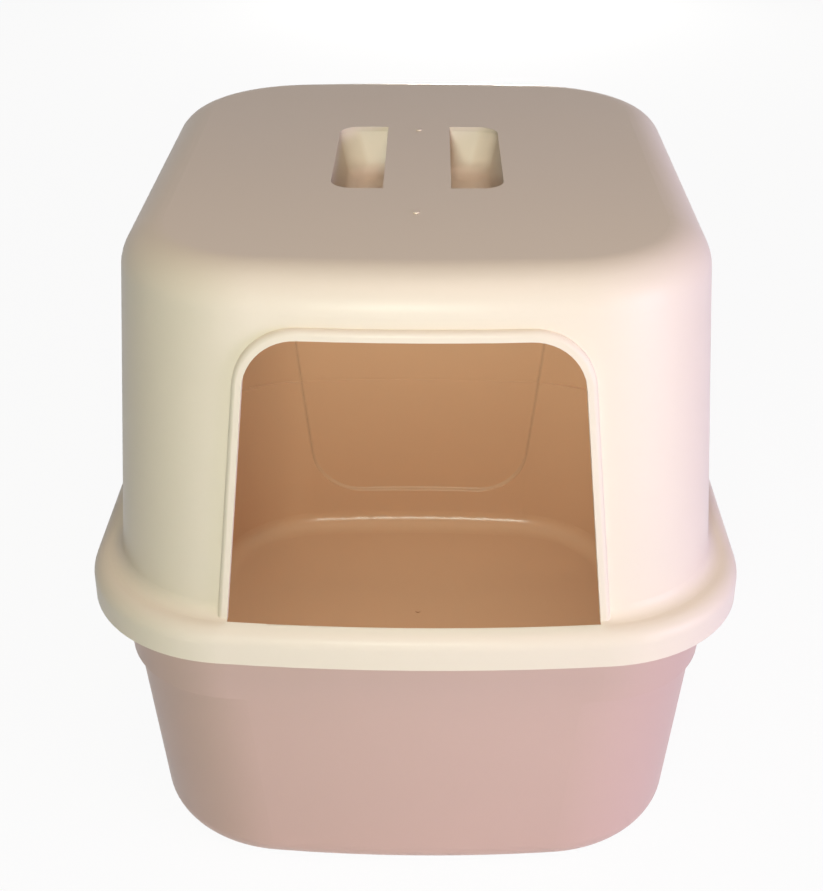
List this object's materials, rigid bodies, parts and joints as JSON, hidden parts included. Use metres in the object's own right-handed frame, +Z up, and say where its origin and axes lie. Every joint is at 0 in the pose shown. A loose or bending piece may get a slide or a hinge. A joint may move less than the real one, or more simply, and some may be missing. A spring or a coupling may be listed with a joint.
{
  "type": "covered litter box",
  "caption": "Covered litter box: a tapered tray with a lift-off hood that has a wide front entrance, a rolled flange and a two-sided finger handle in its roof.",
  "frame": {"origin": "on the surface it stands on, under the middle of the box", "axes": "+Z up, entrance towards -Y, +X to the right seen from the entrance"},
  "size_m": [0.4, 0.48, 0.4059],
  "materials": {
    "pan_plastic": "moulded, satin gloss, dusty pink",
    "hood_plastic": "moulded, satin gloss, cream"
  },
  "bodies": {
    "pan": {"pan": "pan_plastic"},
    "hood": {"hood": "hood_plastic", "handle_cup": "hood_plastic"}
  },
  "joints": [
    {"name": "hood_lift", "type": "slide", "parent": "pan", "child": "hood", "axis": [0, 0, 1], "range_m": [0, 0.25]}
  ]
}
